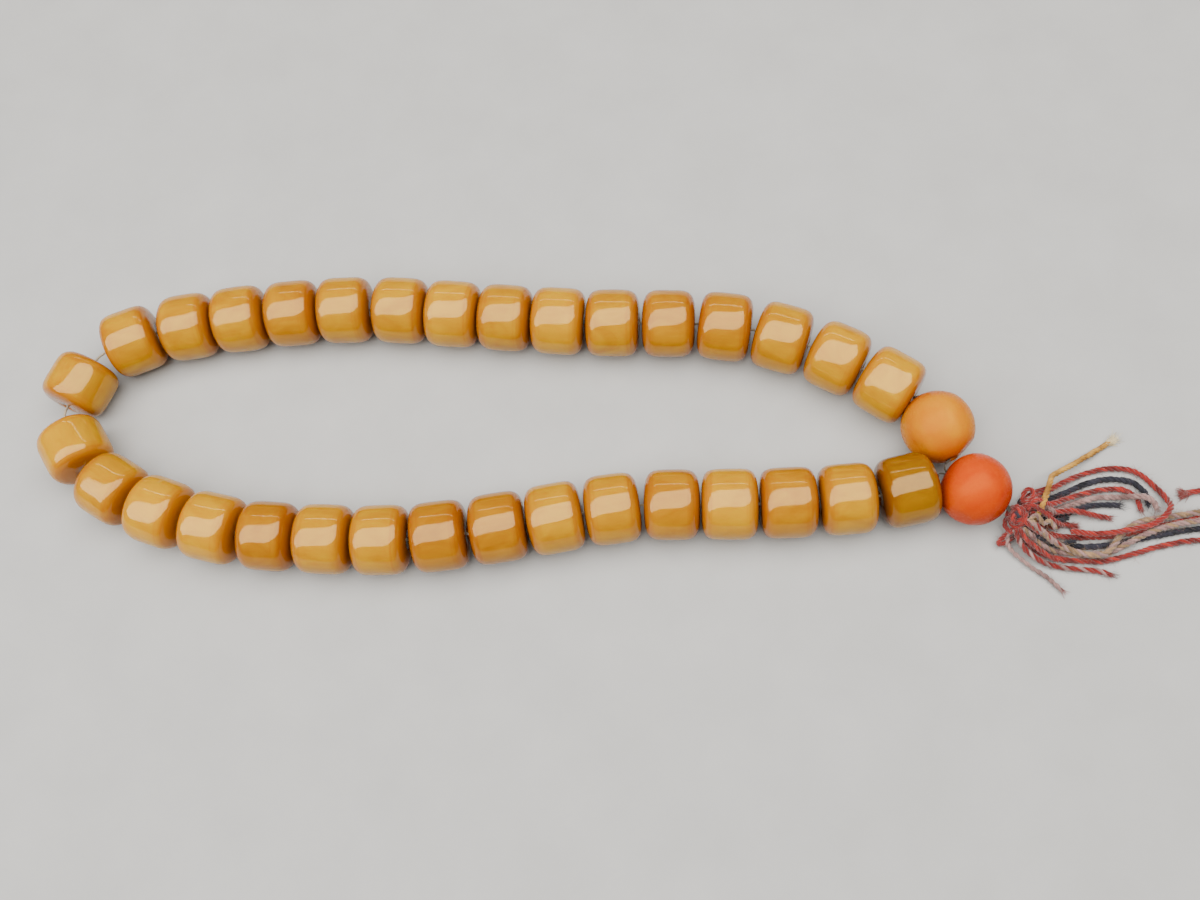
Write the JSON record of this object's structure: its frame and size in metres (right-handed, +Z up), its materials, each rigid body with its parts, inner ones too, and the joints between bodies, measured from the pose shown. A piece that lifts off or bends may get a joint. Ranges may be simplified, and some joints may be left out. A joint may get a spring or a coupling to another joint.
{
  "type": "prayer beads",
  "caption": "Misbaha: closed loop of drum-shaped amber-coloured prayer beads that turn on a cord, with one round bead, a leader bead, a knot and a loose yarn tassel.",
  "frame": {"origin": "on the table, under the middle of the bounding box of the beads, stringing cord and knot; the free yarn ends are left out", "axes": "+X along the loop from its far bend towards the tassel, +Y across the loop, +Z up from the table the beads lie on"},
  "size_m": [0.2355, 0.0647, 0.0136],
  "materials": {
    "amber_resin": "polished, translucent amber yellow with cloudy streaks",
    "olive_amber_resin": "polished, darker and clearer olive amber",
    "orange_resin": "satin polished orange",
    "red_orange_resin": "satin polished red-orange",
    "string_white": "twisted cord",
    "knot_red": "knotted cotton yarn",
    "yarn_red": "twisted cotton yarn, dark red",
    "yarn_navy": "twisted cotton yarn, navy",
    "yarn_grey": "twisted cotton yarn, pale pinkish grey",
    "yarn_beige": "twisted cotton yarn, beige",
    "waxed_ochre": "waxed twisted cord, yellow ochre"
  },
  "bodies": {
    "leader_cord": {"cord_through_leader": "string_white"},
    "loop_right": {"cord_upper_right": "string_white", "cord_lower_right": "string_white"},
    "upper_link": {"cord_upper_middle": "string_white"},
    "lower_link": {"cord_lower_middle": "string_white"},
    "loop_left": {"cord_left_bend": "string_white"},
    "tassel_head": {"tassel_knot": "knot_red"},
    "tassel_skirt": {"yarn_red_outer": "yarn_red", "yarn_navy_upper": "yarn_navy", "yarn_red_inner": "yarn_red", "yarn_grey_upper": "yarn_grey", "yarn_navy_inner": "yarn_navy", "yarn_red_short": "yarn_red", "yarn_red_tuft": "yarn_red", "yarn_red_middle": "yarn_red", "yarn_navy_lower": "yarn_navy", "yarn_grey_lower": "yarn_grey", "yarn_red_lower": "yarn_red", "yarn_beige_crossing": "yarn_beige", "yarn_red_lowest": "yarn_red", "waxed_cord_end": "waxed_ochre", "loose_thread": "yarn_grey"},
    "turning_leader_bead": {"leader_bead": "red_orange_resin"},
    "turning_bead_01": {"bead_01": "orange_resin"},
    "turning_bead_02": {"bead_02": "amber_resin"},
    "turning_bead_03": {"bead_03": "amber_resin"},
    "turning_bead_04": {"bead_04": "amber_resin"},
    "turning_bead_05": {"bead_05": "amber_resin"},
    "turning_bead_06": {"bead_06": "amber_resin"},
    "turning_bead_07": {"bead_07": "amber_resin"},
    "turning_bead_08": {"bead_08": "amber_resin"},
    "turning_bead_09": {"bead_09": "amber_resin"},
    "turning_bead_10": {"bead_10": "amber_resin"},
    "turning_bead_11": {"bead_11": "amber_resin"},
    "turning_bead_12": {"bead_12": "amber_resin"},
    "turning_bead_13": {"bead_13": "amber_resin"},
    "turning_bead_14": {"bead_14": "amber_resin"},
    "turning_bead_15": {"bead_15": "amber_resin"},
    "turning_bead_16": {"bead_16": "amber_resin"},
    "turning_bead_17": {"bead_17": "amber_resin"},
    "turning_bead_18": {"bead_18": "amber_resin"},
    "turning_bead_19": {"bead_19": "amber_resin"},
    "turning_bead_20": {"bead_20": "amber_resin"},
    "turning_bead_21": {"bead_21": "amber_resin"},
    "turning_bead_22": {"bead_22": "amber_resin"},
    "turning_bead_23": {"bead_23": "amber_resin"},
    "turning_bead_24": {"bead_24": "amber_resin"},
    "turning_bead_25": {"bead_25": "amber_resin"},
    "turning_bead_26": {"bead_26": "amber_resin"},
    "turning_bead_27": {"bead_27": "amber_resin"},
    "turning_bead_28": {"bead_28": "amber_resin"},
    "turning_bead_29": {"bead_29": "amber_resin"},
    "turning_bead_30": {"bead_30": "amber_resin"},
    "turning_bead_31": {"bead_31": "amber_resin"},
    "turning_bead_32": {"bead_32": "amber_resin"},
    "turning_bead_33": {"bead_33": "olive_amber_resin"}
  },
  "joints": [
    {"name": "loop_swing", "type": "hinge", "parent": "leader_cord", "child": "loop_right", "pos_m": [0.0884, -0.0148, 0.0068], "axis": [0, 0, 1], "range_deg": [-15, 15]},
    {"name": "loop_sway", "type": "hinge", "parent": "loop_right", "child": "upper_link", "pos_m": [0.02519, 0.02127, 0.0068], "axis": [0, 0, 1], "range_deg": [-5, 5]},
    {"name": "loop_sway_left", "type": "hinge", "parent": "upper_link", "child": "loop_left", "pos_m": [-0.03054, 0.02444, 0.0068], "axis": [0, 0, 1], "range_deg": [-5, 5]},
    {"name": "loop_sway_lower", "type": "hinge", "parent": "loop_right", "child": "lower_link", "pos_m": [-0.00765, -0.02366, 0.0068], "axis": [0, 0, 1], "range_deg": [-5, 5]},
    {"name": "tassel_lift", "type": "hinge", "parent": "tassel_head", "child": "tassel_skirt", "pos_m": [0.0959, -0.0193, 0.0047], "axis": [0, -1, 0], "range_deg": [0, 60]},
    {"name": "tassel_swing", "type": "hinge", "parent": "leader_cord", "child": "tassel_head", "pos_m": [0.0959, -0.0193, 0.0047], "axis": [0, 0, 1], "range_deg": [-20, 20]},
    {"name": "turn_bead_01", "type": "hinge", "parent": "loop_right", "child": "turning_bead_01", "pos_m": [0.0823, -0.0021, 0.0068], "axis": [0.309, -0.9511, 0], "continuous": true},
    {"name": "turn_bead_02", "type": "hinge", "parent": "loop_right", "child": "turning_bead_02", "pos_m": [0.0736, 0.00685, 0.0068], "axis": [-0.8306, 0.5569, 0], "continuous": true},
    {"name": "turn_bead_03", "type": "hinge", "parent": "loop_right", "child": "turning_bead_03", "pos_m": [0.06389, 0.01265, 0.0068], "axis": [-0.884, 0.4674, 0], "continuous": true},
    {"name": "turn_bead_04", "type": "hinge", "parent": "loop_right", "child": "turning_bead_04", "pos_m": [0.05327, 0.01719, 0.0068], "axis": [-0.9487, 0.3162, 0], "continuous": true},
    {"name": "turn_bead_05", "type": "hinge", "parent": "loop_right", "child": "turning_bead_05", "pos_m": [0.04196, 0.01985, 0.0068], "axis": [-0.9907, 0.1359, 0], "continuous": true},
    {"name": "turn_bead_06", "type": "hinge", "parent": "loop_right", "child": "turning_bead_06", "pos_m": [0.03063, 0.02071, 0.0068], "axis": [-0.9998, 0.0199, 0], "continuous": true},
    {"name": "turn_bead_07", "type": "hinge", "parent": "upper_link", "child": "turning_bead_07", "pos_m": [0.01934, 0.02099, 0.0068], "axis": [-0.9995, 0.0306, 0], "continuous": true},
    {"name": "turn_bead_08", "type": "hinge", "parent": "upper_link", "child": "turning_bead_08", "pos_m": [0.00826, 0.02159, 0.0068], "axis": [-0.997, 0.0779, 0], "continuous": true},
    {"name": "turn_bead_09", "type": "hinge", "parent": "upper_link", "child": "turning_bead_09", "pos_m": [-0.00264, 0.02251, 0.0068], "axis": [-0.996, 0.0896, 0], "continuous": true},
    {"name": "turn_bead_10", "type": "hinge", "parent": "upper_link", "child": "turning_bead_10", "pos_m": [-0.01354, 0.02354, 0.0068], "axis": [-0.995, 0.1002, 0], "continuous": true},
    {"name": "turn_bead_11", "type": "hinge", "parent": "upper_link", "child": "turning_bead_11", "pos_m": [-0.02451, 0.0245, 0.0068], "axis": [-0.9974, 0.072, 0], "continuous": true},
    {"name": "turn_bead_12", "type": "hinge", "parent": "loop_left", "child": "turning_bead_12", "pos_m": [-0.03617, 0.02476, 0.0068], "axis": [-0.9996, -0.0274, 0], "continuous": true},
    {"name": "turn_bead_13", "type": "hinge", "parent": "loop_left", "child": "turning_bead_13", "pos_m": [-0.04724, 0.0242, 0.0068], "axis": [-0.9973, -0.0734, 0], "continuous": true},
    {"name": "turn_bead_14", "type": "hinge", "parent": "loop_left", "child": "turning_bead_14", "pos_m": [-0.05833, 0.02303, 0.0068], "axis": [-0.9905, -0.1375, 0], "continuous": true},
    {"name": "turn_bead_15", "type": "hinge", "parent": "loop_left", "child": "turning_bead_15", "pos_m": [-0.0692, 0.0214, 0.0068], "axis": [-0.9871, -0.1599, 0], "continuous": true},
    {"name": "turn_bead_16", "type": "hinge", "parent": "loop_left", "child": "turning_bead_16", "pos_m": [-0.08055, 0.01823, 0.0068], "axis": [-0.9258, -0.3781, 0], "continuous": true},
    {"name": "turn_bead_17", "type": "hinge", "parent": "loop_left", "child": "turning_bead_17", "pos_m": [-0.09048, 0.00857, 0.00655], "axis": [-0.3702, -0.929, 0], "continuous": true},
    {"name": "turn_bead_18", "type": "hinge", "parent": "loop_left", "child": "turning_bead_18", "pos_m": [-0.08893, -0.00577, 0.00655], "axis": [0.5615, -0.8275, 0], "continuous": true},
    {"name": "turn_bead_19", "type": "hinge", "parent": "loop_left", "child": "turning_bead_19", "pos_m": [-0.07973, -0.01419, 0.00655], "axis": [0.8622, -0.5066, 0], "continuous": true},
    {"name": "turn_bead_20", "type": "hinge", "parent": "loop_left", "child": "turning_bead_20", "pos_m": [-0.06914, -0.01905, 0.0068], "axis": [0.9454, -0.326, 0], "continuous": true},
    {"name": "turn_bead_21", "type": "hinge", "parent": "lower_link", "child": "turning_bead_21", "pos_m": [-0.05789, -0.02227, 0.0068], "axis": [0.9751, -0.2216, 0], "continuous": true},
    {"name": "turn_bead_22", "type": "hinge", "parent": "lower_link", "child": "turning_bead_22", "pos_m": [-0.04653, -0.02397, 0.0068], "axis": [0.9973, -0.0736, 0], "continuous": true},
    {"name": "turn_bead_23", "type": "hinge", "parent": "lower_link", "child": "turning_bead_23", "pos_m": [-0.03551, -0.02459, 0.0068], "axis": [0.9992, -0.0396, 0], "continuous": true},
    {"name": "turn_bead_24", "type": "hinge", "parent": "lower_link", "child": "turning_bead_24", "pos_m": [-0.02439, -0.02472, 0.0068], "axis": [0.9999, 0.0167, 0], "continuous": true},
    {"name": "turn_bead_25", "type": "hinge", "parent": "lower_link", "child": "turning_bead_25", "pos_m": [-0.0131, -0.02393, 0.0068], "axis": [0.9924, 0.1233, 0], "continuous": true},
    {"name": "turn_bead_26", "type": "hinge", "parent": "loop_right", "child": "turning_bead_26", "pos_m": [-0.00181, -0.0223, 0.0068], "axis": [0.9871, 0.1599, 0], "continuous": true},
    {"name": "turn_bead_27", "type": "hinge", "parent": "loop_right", "child": "turning_bead_27", "pos_m": [0.00905, -0.02037, 0.0068], "axis": [0.9817, 0.1904, 0], "continuous": true},
    {"name": "turn_bead_28", "type": "hinge", "parent": "loop_right", "child": "turning_bead_28", "pos_m": [0.02, -0.01853, 0.0068], "axis": [0.9903, 0.139, 0], "continuous": true},
    {"name": "turn_bead_29", "type": "hinge", "parent": "loop_right", "child": "turning_bead_29", "pos_m": [0.03137, -0.01768, 0.0068], "axis": [0.9999, 0.011, 0], "continuous": true},
    {"name": "turn_bead_30", "type": "hinge", "parent": "loop_right", "child": "turning_bead_30", "pos_m": [0.04229, -0.01759, 0.0068], "axis": [1, 0.0066, 0], "continuous": true},
    {"name": "turn_bead_31", "type": "hinge", "parent": "loop_right", "child": "turning_bead_31", "pos_m": [0.05334, -0.01731, 0.0068], "axis": [0.999, 0.044, 0], "continuous": true},
    {"name": "turn_bead_32", "type": "hinge", "parent": "loop_right", "child": "turning_bead_32", "pos_m": [0.06439, -0.01657, 0.0068], "axis": [0.996, 0.0895, 0], "continuous": true},
    {"name": "turn_bead_33", "type": "hinge", "parent": "loop_right", "child": "turning_bead_33", "pos_m": [0.07566, -0.01484, 0.0068], "axis": [0.9766, 0.2149, 0], "continuous": true},
    {"name": "turn_leader_bead", "type": "hinge", "parent": "leader_cord", "child": "turning_leader_bead", "pos_m": [0.0884, -0.0148, 0.0068], "axis": [0.8572, -0.515, 0], "continuous": true}
  ],
  "couplings": [
    {"joint": "loop_sway_left", "follows": "loop_sway", "ratio": -1},
    {"joint": "loop_sway_lower", "follows": "loop_sway", "ratio": 1}
  ]
}
